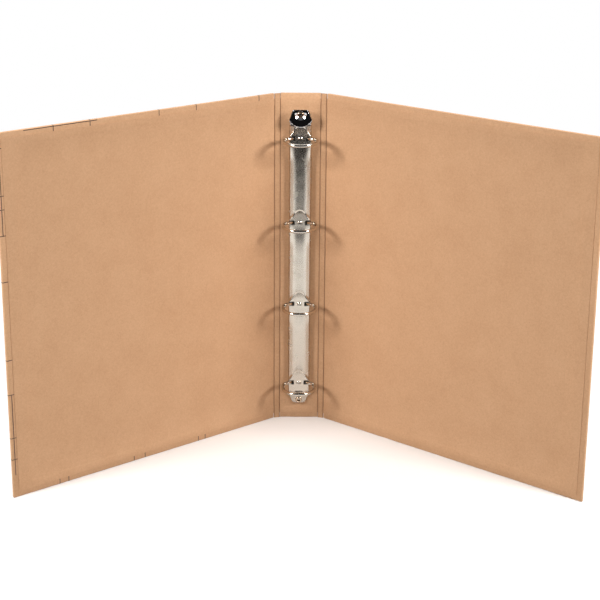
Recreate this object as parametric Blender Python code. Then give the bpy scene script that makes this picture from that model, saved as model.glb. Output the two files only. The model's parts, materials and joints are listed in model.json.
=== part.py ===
"""Four-ring scrapbook album, standing open in a V.

Three greyboard panels wrapped in kraft paper (front cover, spine, back cover) are
joined by two paper hinge strips. A lever ring mechanism is riveted to the spine:
an arched ring plate holds two sprung blades, each blade carries four half rings,
and a lever at the top end tilts the blades to open the rings.

Units are metres. The album stands on Z = 0, X runs across it and the covers come
forward towards -Y. "Height above the spine" is measured from the spine's liner
towards -Y.
"""
import math

import bmesh
import bpy
from mathutils import Matrix, Vector

MM = 0.001

# Covers and spine
ALBUM_HEIGHT = 320 * MM
COVER_WIDTH = 274 * MM
SPINE_WIDTH = 37 * MM
HINGE_WIDTH = 5.5 * MM
COVER_ANGLE = math.radians(37.0)  # each cover, forward of the spine's plane

# Layers of a panel, from the inner face outwards
PAPER = 0.25 * MM
GLUE_GAP = 0.1 * MM
BOARD = 2.0 * MM
HINGE_THICKNESS = 0.6 * MM
CLEARANCE = 0.3 * MM
LINER_INSET = 5 * MM
TURN_IN_SIDE = 17 * MM
TURN_IN_ENDS = 11 * MM

INNER_FACE = -HINGE_THICKNESS / 2
TURN_IN_FACE = INNER_FACE + PAPER + GLUE_GAP
BOARD_FACE = TURN_IN_FACE + PAPER + GLUE_GAP
WRAP_FACE = BOARD_FACE + BOARD + GLUE_GAP
OUTER_FACE = WRAP_FACE + PAPER

# Rings
RING_PITCH = 80 * MM
FIRST_RING_Z = 39 * MM
RING_COUNT = 4
RING_RADIUS = 15 * MM
RING_CENTRE_HEIGHT = 19.5 * MM
WIRE_RADIUS = 1.5 * MM
TIP_GAP = 0.6 * MM
# The ring's two rear corners are tighter than its front: (across, height) of a centre
RING_CORNER = (8.2 * MM, 14.2 * MM)
RING_CORNER_RADIUS = 6.8 * MM
RING_CORNER_TURN = math.radians(62.0)
# From there each wire dips through its slot to the blade, (across, height) in mm
RING_ROOT = ((9.6, 7.25), (8.2, 6.2), (7.2, 5.0), (6.7, 3.8), (6.6, 2.5))

# Ring plate
PLATE_HALF_WIDTH = 10.2 * MM
PLATE_CROWN = 6.8 * MM
PLATE_BASE = 0.3 * MM
PLATE_WALL = 0.8 * MM
PLATE_LIP = 2.0 * MM
PLATE_BOTTOM_Z = 16.2 * MM
PLATE_TAPER_Z = 26 * MM
PLATE_ARCH_START_Z = 30 * MM
PLATE_ARCH_END_Z = 290.5 * MM
PLATE_TOP_Z = 304.5 * MM
ARCH_SHAPE = ((1.0, 0.32), (0.82, 0.58), (0.42, 0.94))  # shares of half width and crown
FOOT_HALF_WIDTH = 6.7 * MM
FOOT_CROWN = 2.4 * MM
STEP_CROWN = 4.0 * MM  # where the foot meets the arch
SLOT_HALF_HEIGHT = 2.1 * MM
SLOT_ACROSS = (4.6 * MM, 9.7 * MM)
SLOT_DEPTHS = (2.45 * MM, 9.0 * MM)  # heights above the spine that a slot is cut between
# The flat tongue past the arch, which the top rivet holds: half of it, (across, z) in mm
PLATE_TONGUE = ((9.8, 285.0), (9.8, 290.3), (8.4, 290.3), (8.4, 297.0), (6.0, 304.5))
TONGUE_WINDOW = (3.1 * MM, 287.0 * MM, 296.7 * MM)  # half width, z from, z to
EAR_ACROSS = (7.6 * MM, 8.4 * MM)
EAR_Z = (292.5 * MM, 296.9 * MM)
EAR_TOP = 5.4 * MM

# Rivets
RIVET_Z = (20 * MM, 300 * MM)
RIVET_SHANK_RADIUS = 2.0 * MM
RIVET_BORE_RADIUS = 1.3 * MM
RIVET_HEAD_RADIUS = 3.0 * MM
RIVET_HEAD_THICKNESS = 0.9 * MM
RIVET_HEAD_ROUNDING = 0.6 * MM
RIVET_CAP_RADIUS = 4.5 * MM
RIVET_CAP_THICKNESS = 1.2 * MM
RIVET_CAP_SHOULDER = 0.8 * MM
BOTTOM_RIVET_SEAT = 3.3 * MM
TOP_RIVET_SEAT = PLATE_BASE + PLATE_WALL
THROUGH_CUT = 20 * MM  # long enough to cut through every layer

# Blades and lever
BLADE_AXIS = (8.9 * MM, 1.8 * MM)  # across, height above the spine
BLADE_THICKNESS = 0.8 * MM
BLADE_INNER_GAP = 0.3 * MM  # from each blade's inner edge to the middle
BLADE_OUTER_EDGE = 0.1 * MM  # past the axis
BLADE_SPAN_Z = (31 * MM, 292 * MM)
LEVER_AXIS_Z = 294.5 * MM
LEVER_AXIS_HEIGHT = 3.2 * MM
PIN_RADIUS = 1.0 * MM
PIN_HALF_LENGTH = 10.3 * MM
LEVER_FLOOR = 7.6 * MM
LEVER_SHEET = 1.0 * MM
# Half of the pad's outline from its outer corner to its inner point, (across, z) in mm
LEVER_PAD = ((7.0, 306.3), (8.6, 302.6), (10.7, 297.0), (8.4, 293.6), (4.6, 291.0), (0.0, 290.0))
LEVER_SEAM = 0.5 * MM  # how far the cheeks and web run into the pad
CHEEK_ACROSS = (8.7 * MM, 9.7 * MM)
CHEEK_Z = (LEVER_AXIS_Z - 2.2 * MM, LEVER_AXIS_Z + 2.6 * MM)
CHEEK_BOTTOM = 1.4 * MM
WEB_HALF_WIDTH = 2.6 * MM
WEB_Z = (LEVER_AXIS_Z + 1.3 * MM, LEVER_AXIS_Z + 1.9 * MM)
TONGUE_HEIGHTS = (0.7 * MM, 1.1 * MM)
TONGUE_REACH = 4.0 * MM  # past the axis, under the blades
PEEP_HOLE_Z = 302.0 * MM
PEEP_HOLE_RADIUS = 3.2 * MM

ROUND_SEGMENTS = 24


def covers_depth():
    """How far the covers' free edges stand in front of the hinge creases."""
    strip = HINGE_WIDTH * math.sin(COVER_ANGLE / 2)
    cover = COVER_WIDTH * math.sin(COVER_ANGLE)
    return strip + cover - TURN_IN_FACE * math.cos(COVER_ANGLE)


BACK_OF_RIVETS = OUTER_FACE + GLUE_GAP + RIVET_CAP_THICKNESS
# The creases' Y, chosen so that the origin is under the middle of the object
CREASE_Y = (covers_depth() - BACK_OF_RIVETS) / 2
SPINE_FACE_Y = CREASE_Y + INNER_FACE
HALF_SPINE = SPINE_WIDTH / 2


# Scene and materials


def clear_scene():
    for obj in list(bpy.data.objects):
        bpy.data.objects.remove(obj, do_unlink=True)


def linear(channel):
    return channel / 12.92 if channel <= 0.04045 else ((channel + 0.055) / 1.055) ** 2.4


def material(name, hex_colour, metallic, roughness):
    mat = bpy.data.materials.new(name)
    mat.use_nodes = True
    shader = mat.node_tree.nodes["Principled BSDF"]
    rgb = [linear(int(hex_colour[i : i + 2], 16) / 255) for i in (0, 2, 4)]
    shader.inputs["Base Color"].default_value = (*rgb, 1.0)
    shader.inputs["Metallic"].default_value = metallic
    shader.inputs["Roughness"].default_value = roughness
    mat.diffuse_color = (*rgb, 1.0)
    return mat


def kraft(name):
    return material(name, "C9A27E", 0.0, 0.85)


def greyboard(name):
    return material(name, "9A9186", 0.0, 0.9)


def nickel(name):
    return material(name, "B9B3AB", 1.0, 0.32)


def chrome(name):
    return material(name, "D8D8DA", 1.0, 0.08)


def axis_empty(name, location, turn_z=0.0, parent=None):
    """An empty on a joint's axis, which the pieces that turn about it hang from."""
    empty = bpy.data.objects.new(name, None)
    bpy.context.collection.objects.link(empty)
    empty.location = location
    empty.rotation_euler = (0.0, 0.0, turn_z)
    empty.parent = parent
    return empty


def add_object(name, bm, mat, parent=None, smooth=False):
    bmesh.ops.recalc_face_normals(bm, faces=bm.faces)
    mesh = bpy.data.meshes.new(name)
    bm.to_mesh(mesh)
    bm.free()
    if smooth:
        mesh.shade_smooth()
        mesh.set_sharp_from_angle(angle=math.radians(35))
    obj = bpy.data.objects.new(name, mesh)
    bpy.context.collection.objects.link(obj)
    obj.parent = parent
    if mat:
        mesh.materials.append(mat)
    return obj


# Shapes


def box(low, high):
    """A new bmesh box between two corners, given in either order."""
    low, high = Vector(low), Vector(high)
    bm = bmesh.new()
    bmesh.ops.create_cube(bm, size=1.0)
    size = Vector((abs(b - a) for a, b in zip(low, high)))
    bmesh.ops.scale(bm, vec=size, verts=bm.verts)
    bmesh.ops.translate(bm, vec=(low + high) / 2, verts=bm.verts)
    return bm


def cylinder(centre, radius, length, direction):
    """A bmesh cylinder whose middle is at centre, lying along direction."""
    bm = bmesh.new()
    bmesh.ops.create_cone(
        bm,
        cap_ends=True,
        segments=ROUND_SEGMENTS,
        radius1=radius,
        radius2=radius,
        depth=length,
    )
    turn = Vector((0, 0, 1)).rotation_difference(Vector(direction)).to_matrix().to_4x4()
    bmesh.ops.transform(bm, matrix=Matrix.Translation(centre) @ turn, verts=bm.verts)
    return bm


def loft(sections):
    """A closed solid through sections, which are lists of the same number of points."""
    bm = bmesh.new()
    rings = [[bm.verts.new(p) for p in section] for section in sections]
    count = len(rings[0])
    for lower, upper in zip(rings, rings[1:]):
        for i in range(count):
            j = (i + 1) % count
            bm.faces.new((lower[i], lower[j], upper[j], upper[i]))
    bm.faces.new(rings[0])
    bm.faces.new(rings[-1])
    return bm


def extrude_outline(outline, height_low, height_high):
    """A plate parallel to the spine: outline is (across, z) points."""
    y_low, y_high = SPINE_FACE_Y - height_low, SPINE_FACE_Y - height_high
    return loft([[(x, y, z) for x, z in outline] for y in (y_low, y_high)])


def combine(obj, bm, operation):
    """Joins bm to obj, or cuts it out, with an exact Boolean."""
    tool = add_object(f"{obj.name}_tool", bm, None, obj.parent)
    modifier = obj.modifiers.new(operation.title(), "BOOLEAN")
    modifier.operation = operation
    modifier.object = tool
    modifier.solver = "EXACT"
    depsgraph = bpy.context.evaluated_depsgraph_get()
    result = bpy.data.meshes.new_from_object(obj.evaluated_get(depsgraph))
    obj.modifiers.clear()
    obj.data = result
    bpy.data.objects.remove(tool, do_unlink=True)


def spine_box(half_width, z_low, z_high, height_low, height_high):
    """A box centred across the ring mechanism."""
    return box(
        (-half_width, SPINE_FACE_Y - height_low, z_low),
        (half_width, SPINE_FACE_Y - height_high, z_high),
    )


def side_box(side, across, z_span, heights):
    """A box on one side of the ring mechanism."""
    return box(
        (side * across[0], SPINE_FACE_Y - heights[0], z_span[0]),
        (side * across[1], SPINE_FACE_Y - heights[1], z_span[1]),
    )


# Panels


def wrapped_paper(name, low_x, high_x, closed_x, parent, mat):
    """Cover paper folded round a board: its outer sheet, edges and turn-ins.

    It runs from low_x to high_x. closed_x is the free edge that it also wraps, or
    None on the spine, where only the top and bottom are wrapped.
    """
    block = box((low_x, TURN_IN_FACE, 0), (high_x, OUTER_FACE, ALBUM_HEIGHT))
    obj = add_object(name, block, mat, parent)
    past = 10 * MM
    pocket = [low_x - past, high_x + past]
    window = list(pocket)
    if closed_x is not None:
        end = 0 if closed_x == low_x else 1
        inward = 1 if end == 0 else -1
        pocket[end] = closed_x + inward * PAPER
        window[end] = closed_x + inward * TURN_IN_SIDE
    pocket_box = box(
        (pocket[0], TURN_IN_FACE + PAPER, PAPER),
        (pocket[1], WRAP_FACE, ALBUM_HEIGHT - PAPER),
    )
    combine(obj, pocket_box, "DIFFERENCE")
    window_box = box(
        (window[0], TURN_IN_FACE - MM, TURN_IN_ENDS),
        (window[1], BOARD_FACE + MM, ALBUM_HEIGHT - TURN_IN_ENDS),
    )
    combine(obj, window_box, "DIFFERENCE")
    return obj


def cover(side, word):
    """One cover and its hinge strip. side is -1 for the front cover, 1 for the back."""
    turn = -side * COVER_ANGLE / 2
    spine_crease = axis_empty(f"{word}_spine_crease", (side * HALF_SPINE, CREASE_Y, 0), turn)
    cover_crease = axis_empty(
        f"{word}_cover_crease", (side * HINGE_WIDTH, 0, 0), turn, spine_crease
    )
    strip = box(
        (side * CLEARANCE, -HINGE_THICKNESS / 2, 0),
        (side * (HINGE_WIDTH - CLEARANCE), HINGE_THICKNESS / 2, ALBUM_HEIGHT),
    )
    add_object(f"{word}_hinge_strip", strip, kraft(f"{word} hinge paper"), spine_crease)

    start, end = side * CLEARANCE, side * COVER_WIDTH
    board_edge = end - side * (PAPER + GLUE_GAP)
    inset = PAPER + GLUE_GAP
    board = box(
        (start, BOARD_FACE, inset), (board_edge, BOARD_FACE + BOARD, ALBUM_HEIGHT - inset)
    )
    add_object(f"{word}_board", board, greyboard(f"{word} greyboard"), cover_crease)

    low_x, high_x = sorted((start, end))
    paper_mat = kraft(f"{word} cover paper")
    wrapped_paper(f"{word}_cover_paper", low_x, high_x, end, cover_crease, paper_mat)

    liner = box(
        (start, INNER_FACE, LINER_INSET),
        (end - side * LINER_INSET, INNER_FACE + PAPER, ALBUM_HEIGHT - LINER_INSET),
    )
    add_object(f"{word}_liner", liner, kraft(f"{word} liner paper"), cover_crease)


def spine():
    """The spine's board, cover paper and liner, each with two rivet holes."""
    parent = axis_empty("spine_origin", (0, CREASE_Y, 0))
    half = HALF_SPINE - CLEARANCE
    inset = PAPER + GLUE_GAP
    board = box((-half, BOARD_FACE, inset), (half, BOARD_FACE + BOARD, ALBUM_HEIGHT - inset))
    liner = box(
        (-half, INNER_FACE, LINER_INSET), (half, INNER_FACE + PAPER, ALBUM_HEIGHT - LINER_INSET)
    )
    pieces = [
        add_object("spine_board", board, greyboard("spine greyboard"), parent),
        wrapped_paper("spine_cover_paper", -half, half, None, parent, kraft("spine cover paper")),
        add_object("spine_liner", liner, kraft("spine liner paper"), parent),
    ]
    hole_radius = RIVET_SHANK_RADIUS + CLEARANCE
    for piece in pieces:
        for z in RIVET_Z:
            hole = cylinder((0, 0, z), hole_radius, THROUGH_CUT, (0, 1, 0))
            combine(piece, hole, "DIFFERENCE")


# Ring mechanism


def arch_profile(half_width, crown, base, z):
    """The plate's section: vertical skirts, sloping flanks and a gently arched crown."""
    right = [(half_width, base)]
    right += [(half_width * across, crown * height) for across, height in ARCH_SHAPE]
    left = [(-x, h) for x, h in reversed(right)]
    return [(x, SPINE_FACE_Y - h, z) for x, h in [*right, (0.0, crown), *left]]


def cavity_profile(half_width, crown, z):
    """The hollow under the arch, narrower at the bottom where the lips turn in."""
    inner = half_width - PLATE_WALL
    mouth = half_width - PLATE_LIP
    below = -MM
    lip_top = PLATE_BASE + PLATE_WALL
    top = crown - PLATE_WALL
    rise = 0.05 * MM  # keeps each point above the one before it where the arch is low
    side = [(mouth, below), (mouth, lip_top), (inner, lip_top + rise)]
    for i, (across, height) in enumerate(ARCH_SHAPE, start=2):
        side.append((inner * across, max(top * height, lip_top + i * rise)))
    left = [(-x, h) for x, h in reversed(side)]
    points = [*side, (0.0, max(top, lip_top + 5 * rise)), *left]
    return [(x, SPINE_FACE_Y - h, z) for x, h in points]


def ring_heights():
    return [FIRST_RING_Z + i * RING_PITCH for i in range(RING_COUNT)]


def mirrored(right_half):
    """A whole (across, z) outline in metres from its right half in millimetres."""
    left_half = [(-x, z) for x, z in reversed(right_half) if x > 0]
    return [(x * MM, z * MM) for x, z in [*right_half, *left_half]]


def plate_stations(start_shift, end_shift):
    """(z, half width, crown) along the plate, with its two ends moved along z."""
    return [
        (PLATE_BOTTOM_Z + start_shift, FOOT_HALF_WIDTH, FOOT_CROWN),
        (PLATE_TAPER_Z, PLATE_HALF_WIDTH, STEP_CROWN),
        (PLATE_ARCH_START_Z, PLATE_HALF_WIDTH, PLATE_CROWN),
        (PLATE_ARCH_END_Z + end_shift, PLATE_HALF_WIDTH, PLATE_CROWN),
    ]


def ring_plate():
    """The arched plate: slots for the rings, a low tapered foot, a tongue at the top."""
    body = loft([arch_profile(w, c, PLATE_BASE, z) for z, w, c in plate_stations(0, 0)])
    plate = add_object("ring_plate", body, nickel("satin nickel ring plate"))
    past_end = 5 * MM
    hollow = plate_stations(PLATE_WALL, past_end)
    combine(plate, loft([cavity_profile(w, c, z) for z, w, c in hollow]), "DIFFERENCE")

    tongue = extrude_outline(mirrored(PLATE_TONGUE), PLATE_BASE, PLATE_BASE + PLATE_WALL)
    combine(plate, tongue, "UNION")
    window_top = PLATE_BASE + PLATE_LIP / 2
    combine(plate, spine_box(*TONGUE_WINDOW, -MM, window_top), "DIFFERENCE")

    for side in (-1, 1):
        combine(plate, side_box(side, EAR_ACROSS, EAR_Z, (PLATE_BASE, EAR_TOP)), "UNION")
        for z in ring_heights():
            span = (z - SLOT_HALF_HEIGHT, z + SLOT_HALF_HEIGHT)
            combine(plate, side_box(side, SLOT_ACROSS, span, SLOT_DEPTHS), "DIFFERENCE")
    combine(plate, lever_pin_body(PIN_RADIUS + CLEARANCE, PLATE_HALF_WIDTH), "DIFFERENCE")
    hole_radius = RIVET_SHANK_RADIUS + CLEARANCE
    for z in RIVET_Z:
        hole = cylinder((0, SPINE_FACE_Y, z), hole_radius, THROUGH_CUT, (0, 1, 0))
        combine(plate, hole, "DIFFERENCE")


def lever_pin_body(radius, half_length):
    centre = (0, SPINE_FACE_Y - LEVER_AXIS_HEIGHT, LEVER_AXIS_Z)
    return cylinder(centre, radius, 2 * half_length, (1, 0, 0))


def rivet(name, z, seat_height):
    """A tubular rivet: a flared head on the plate, a bore, a domed cap on the spine."""
    seat = -(seat_height + CLEARANCE)
    head = RIVET_HEAD_THICKNESS
    back = OUTER_FACE - INNER_FACE + GLUE_GAP
    profile = [
        (RIVET_BORE_RADIUS, seat - head),
        (RIVET_HEAD_RADIUS - RIVET_HEAD_ROUNDING, seat - head),
        (RIVET_HEAD_RADIUS, seat - head / 2),
        (RIVET_HEAD_RADIUS, seat),
        (RIVET_SHANK_RADIUS, seat),
        (RIVET_SHANK_RADIUS, back),
        (RIVET_CAP_RADIUS, back),
        (RIVET_CAP_RADIUS - RIVET_CAP_THICKNESS, back + RIVET_CAP_SHOULDER),
        (RIVET_BORE_RADIUS, back + RIVET_CAP_THICKNESS),
    ]
    bm = bmesh.new()
    rings = []
    for i in range(ROUND_SEGMENTS):
        angle = 2 * math.pi * i / ROUND_SEGMENTS
        c, s = math.cos(angle), math.sin(angle)
        rings.append([bm.verts.new((r * c, SPINE_FACE_Y + y, z + r * s)) for r, y in profile])
    count = len(profile)
    for this, following in zip(rings, rings[1:] + rings[:1]):
        for i in range(count):
            j = (i + 1) % count
            bm.faces.new((this[i], this[j], following[j], following[i]))
    add_object(name, bm, nickel(name.replace("_", " ")), smooth=True)


def ring_wire_points(side):
    """The middle line of a half ring, from its tip in front to its root on the blade."""
    tip_angle = math.pi - math.asin(TIP_GAP / 2 / RING_RADIUS)
    front_steps, corner_steps = 12, 7
    points = []
    for i in range(front_steps + 1):
        angle = tip_angle + (math.pi / 2 - tip_angle) * i / front_steps
        across = RING_RADIUS * math.sin(angle)
        points.append((across, RING_CENTRE_HEIGHT - RING_RADIUS * math.cos(angle)))
    centre_across, centre_height = RING_CORNER
    for i in range(corner_steps + 1):
        angle = RING_CORNER_TURN * i / corner_steps
        across = centre_across + RING_CORNER_RADIUS * math.cos(angle)
        points.append((across, centre_height - RING_CORNER_RADIUS * math.sin(angle)))
    points += [(across * MM, height * MM) for across, height in RING_ROOT]
    return [(side * across, -height, 0.0) for across, height in points]


def ring_mesh(side):
    """A half ring of round wire, with flat ends, about the level z = 0."""
    curve = bpy.data.curves.new("ring wire", "CURVE")
    curve.dimensions = "3D"
    curve.bevel_depth = WIRE_RADIUS
    curve.bevel_resolution = 3
    curve.use_fill_caps = True
    points = ring_wire_points(side)
    spline = curve.splines.new("POLY")
    spline.points.add(len(points) - 1)
    for target, point in zip(spline.points, points):
        target.co = (*point, 1.0)
    obj = bpy.data.objects.new("ring wire", curve)
    bpy.context.collection.objects.link(obj)
    depsgraph = bpy.context.evaluated_depsgraph_get()
    mesh = bpy.data.meshes.new_from_object(obj.evaluated_get(depsgraph))
    bpy.data.objects.remove(obj, do_unlink=True)
    bpy.data.curves.remove(curve)
    bm = bmesh.new()
    bm.from_mesh(mesh)
    bmesh.ops.remove_doubles(bm, verts=bm.verts, dist=0.001 * MM)
    bmesh.ops.recalc_face_normals(bm, faces=bm.faces)
    bm.to_mesh(mesh)
    bm.free()
    mesh.shade_smooth()
    mesh.set_sharp_from_angle(angle=math.radians(50))
    return mesh


def ring_half(side, word):
    """One blade with its four half rings, which turn about the blade's outer edge."""
    across, height = BLADE_AXIS
    parent = axis_empty(f"{word}_blade_axis", (side * across, SPINE_FACE_Y - height, 0))
    low, high = -BLADE_THICKNESS / 2, BLADE_THICKNESS / 2
    inner_edge = side * (BLADE_INNER_GAP - across)
    outer_edge = side * BLADE_OUTER_EDGE
    blade = box((inner_edge, low, BLADE_SPAN_Z[0]), (outer_edge, high, BLADE_SPAN_Z[1]))
    add_object(f"blade_{word}", blade, nickel(f"{word} blade steel"), parent)
    mesh = ring_mesh(side)
    for number, z in enumerate(ring_heights(), start=1):
        ring = bpy.data.objects.new(f"ring_{number}_{word}", mesh.copy())
        bpy.context.collection.objects.link(ring)
        ring.parent = parent
        ring.location = (-side * across, height, z)
        ring.data.materials.append(nickel(f"ring {number} {word} wire"))


def lever():
    """The lever: a pad over the plate's end, two cheeks on the pin, a tongue below."""
    pad = extrude_outline(mirrored(LEVER_PAD), LEVER_FLOOR, LEVER_FLOOR + LEVER_SHEET)
    parent = axis_empty("lever_axis", (0, 0, 0))
    obj = add_object("lever", pad, chrome("polished chrome lever"), parent)

    joined = LEVER_FLOOR + LEVER_SEAM
    for side in (-1, 1):
        cheek = side_box(side, CHEEK_ACROSS, CHEEK_Z, (CHEEK_BOTTOM, joined))
        combine(obj, cheek, "UNION")
    web = spine_box(WEB_HALF_WIDTH, *WEB_Z, TONGUE_HEIGHTS[0], joined)
    combine(obj, web, "UNION")
    tongue_end = LEVER_AXIS_Z - TONGUE_REACH
    combine(obj, spine_box(WEB_HALF_WIDTH, tongue_end, WEB_Z[1], *TONGUE_HEIGHTS), "UNION")
    combine(obj, lever_pin_body(PIN_RADIUS + CLEARANCE, PIN_HALF_LENGTH + MM), "DIFFERENCE")
    hole_centre = (0, SPINE_FACE_Y - LEVER_FLOOR, PEEP_HOLE_Z)
    hole = cylinder(hole_centre, PEEP_HOLE_RADIUS, THROUGH_CUT, (0, 1, 0))
    combine(obj, hole, "DIFFERENCE")


def main():
    clear_scene()
    cover(-1, "front")
    cover(1, "back")
    spine()
    ring_plate()
    rivet("rivet_bottom", RIVET_Z[0], BOTTOM_RIVET_SEAT)
    rivet("rivet_top", RIVET_Z[1], TOP_RIVET_SEAT)
    ring_half(-1, "left")
    ring_half(1, "right")
    pin = lever_pin_body(PIN_RADIUS, PIN_HALF_LENGTH)
    add_object("lever_pin", pin, nickel("lever pin steel"), smooth=True)
    lever()


main()
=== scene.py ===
"""Looks of a four-ring scrapbook album that stands open in a V.

Kraft-covered boards fold on pressed paper hinges. A satin nickel ring plate is riveted
to the spine and carries bright nickel rings and a chrome lever.
"""
import json
import math

import bmesh
import bpy
from mathutils import Matrix, Vector


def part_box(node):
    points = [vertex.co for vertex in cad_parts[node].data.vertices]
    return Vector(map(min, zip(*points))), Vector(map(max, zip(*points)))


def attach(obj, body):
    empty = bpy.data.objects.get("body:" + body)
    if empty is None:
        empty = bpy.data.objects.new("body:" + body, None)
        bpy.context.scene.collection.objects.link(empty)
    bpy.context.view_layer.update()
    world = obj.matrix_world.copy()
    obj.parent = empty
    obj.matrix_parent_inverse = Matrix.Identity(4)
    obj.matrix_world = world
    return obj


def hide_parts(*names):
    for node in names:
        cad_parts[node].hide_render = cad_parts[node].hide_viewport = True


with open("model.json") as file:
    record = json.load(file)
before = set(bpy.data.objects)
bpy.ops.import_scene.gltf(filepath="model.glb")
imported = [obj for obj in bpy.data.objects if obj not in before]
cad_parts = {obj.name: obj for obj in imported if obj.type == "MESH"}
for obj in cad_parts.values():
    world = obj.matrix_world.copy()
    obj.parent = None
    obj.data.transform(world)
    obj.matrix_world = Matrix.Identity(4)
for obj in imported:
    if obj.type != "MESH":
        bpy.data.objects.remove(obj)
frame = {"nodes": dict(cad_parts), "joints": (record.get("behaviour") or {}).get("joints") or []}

MM = 0.001
UP = Vector((0, 0, 1))
SIDES = {"front": -1, "back": 1}  # which way each cover lies from the spine
HANDS = {"left": -1, "right": 1}
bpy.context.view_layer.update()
JOINTS = {joint["name"]: joint for joint in frame["joints"]}

# Where the spine's inner face is, and the heights of the four rings
SPINE_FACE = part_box("spine_liner")[0].y
RING_NUMBERS = (1, 2, 3, 4)
RING_Z = [sum(c.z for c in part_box(f"ring_{i}_left")) / 2 for i in RING_NUMBERS]


# ---------------------------------------------------------------- small tools


def srgb(hex_colour):
    """An sRGB hex colour as linear RGBA."""
    channels = [int(hex_colour[i : i + 2], 16) / 255 for i in (0, 2, 4)]
    linear = [c / 12.92 if c <= 0.04045 else ((c + 0.055) / 1.055) ** 2.4 for c in channels]
    return (*linear, 1.0)


def add(tree, kind, inputs=None, **settings):
    """Adds a node, sets its settings, and links or sets each named input."""
    node = tree.nodes.new(kind)
    for name, value in settings.items():
        setattr(node, name, value)
    for name, value in (inputs or {}).items():
        if isinstance(value, bpy.types.NodeSocket):
            tree.links.new(value, node.inputs[name])
        else:
            node.inputs[name].default_value = value
    return node


def smooth_step(value, low, high):
    """0 below low, 1 above high, and an S between them."""
    t = min(1.0, max(0.0, (value - low) / (high - low)))
    return t * t * (3 - 2 * t)


def as_object(name, bm):
    """A new object that takes over a bmesh."""
    mesh = bpy.data.meshes.new(name)
    bm.to_mesh(mesh)
    bm.free()
    obj = bpy.data.objects.new(name, mesh)
    bpy.context.collection.objects.link(obj)
    return obj


def modified(obj, *helpers):
    """An object's mesh after its modifiers; the object and its helpers are deleted."""
    result = bmesh.new()
    result.from_object(obj, bpy.context.evaluated_depsgraph_get())
    for used in (obj, *helpers):
        mesh = used.data
        bpy.data.objects.remove(used, do_unlink=True)
        bpy.data.meshes.remove(mesh)
    return result


def piece(name, bm, material, body, stands_for=(), smooth_angle=35.0):
    """Turns a bmesh in world place into a finished piece that rides on a body."""
    bmesh.ops.remove_doubles(bm, verts=bm.verts, dist=0.002 * MM)
    bmesh.ops.recalc_face_normals(bm, faces=bm.faces)
    obj = as_object(name, bm)
    obj.data.materials.append(material)
    obj.data.shade_smooth()
    obj.data.set_sharp_from_angle(angle=math.radians(smooth_angle))
    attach(obj, body)
    if stands_for:
        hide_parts(*stands_for)
    return obj


def refinish(node, material):
    """Gives a CAD node that stays in view a material in place of its plain one."""
    materials = frame["nodes"][node].data.materials
    materials.clear()
    materials.append(material)


def mark_crease_shade(bm, pressed):
    """Keeps how near each point lies to a crease, for the painted shade that darkens the paper's
    colour there.
    """
    layer = bm.verts.layers.float.new("pressed")
    for vert in bm.verts:
        vert[layer] = pressed(vert.co)


def sheet_grid(columns, rows, place):
    """A grid of faces; place(column, row) gives each corner."""
    bm = bmesh.new()
    grid = [[bm.verts.new(place(c, r)) for c in columns] for r in rows]
    for r in range(len(rows) - 1):
        for c in range(len(columns) - 1):
            bm.faces.new((grid[r][c], grid[r][c + 1], grid[r + 1][c + 1], grid[r + 1][c]))
    return bm


def thicken(bm, amount):
    """Gives an open sheet a wall, on the far side from its normals when positive."""
    obj = as_object("sheet", bm)
    wall = obj.modifiers.new("wall", "SOLIDIFY")
    wall.thickness = amount
    wall.offset = -1.0
    wall.use_even_offset = True
    wall.use_quality_normals = True
    return modified(obj)


def loft(sections, closed_ends=True):
    """A solid through sections that have the same number of points."""
    bm = bmesh.new()
    rings = [[bm.verts.new(p) for p in section] for section in sections]
    count = len(rings[0])
    for lower, upper in zip(rings, rings[1:]):
        for i in range(count):
            j = (i + 1) % count
            bm.faces.new((lower[i], lower[j], upper[j], upper[i]))
    if closed_ends:
        bm.faces.new(rings[0])
        bm.faces.new(rings[-1])
    return bm


def turned(profile, centre, segments=40):
    """A closed (radius, depth) profile turned about a line along Y."""
    bm = bmesh.new()
    rings = []
    for i in range(segments):
        a = 2 * math.pi * i / segments
        ring = []
        for radius, depth in profile:
            offset = Vector((radius * math.cos(a), depth, radius * math.sin(a)))
            ring.append(bm.verts.new(Vector(centre) + offset))
        rings.append(ring)
    count = len(profile)
    for this, following in zip(rings, rings[1:] + rings[:1]):
        for i in range(count):
            j = (i + 1) % count
            bm.faces.new((this[i], this[j], following[j], following[i]))
    return bm


def cut_out(bm, low, high, rounding=0.3 * MM):
    """Takes a box-shaped opening out of a solid."""
    cutter = rounded_block(low, high, rounding)
    for source in (bm, cutter):
        bmesh.ops.recalc_face_normals(source, faces=source.faces)
    solid, opening = as_object("solid", bm), as_object("opening", cutter)
    cut = solid.modifiers.new("opening", "BOOLEAN")
    cut.operation = "DIFFERENCE"
    cut.solver = "EXACT"
    cut.object = opening
    return modified(solid, opening)


def rounded_block(low, high, radius, segments=2):
    """A box between two corners, its edges rounded to a radius."""
    bm = bmesh.new()
    bmesh.ops.create_cube(bm, size=1.0)
    low, high = Vector(low), Vector(high)
    bmesh.ops.scale(bm, vec=Vector(map(abs, high - low)), verts=bm.verts)
    bmesh.ops.translate(bm, vec=(low + high) / 2, verts=bm.verts)
    bmesh.ops.bevel(
        bm, geom=bm.edges, offset=radius, segments=segments, profile=0.5, affect="EDGES"
    )
    return bm


def merge(target, source):
    """Adds one bmesh's geometry to another."""
    mesh = bpy.data.meshes.new("part")
    source.to_mesh(mesh)
    source.free()
    target.from_mesh(mesh)
    bpy.data.meshes.remove(mesh)
    return target


# ---------------------------------------------------------------- panels' places


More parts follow.
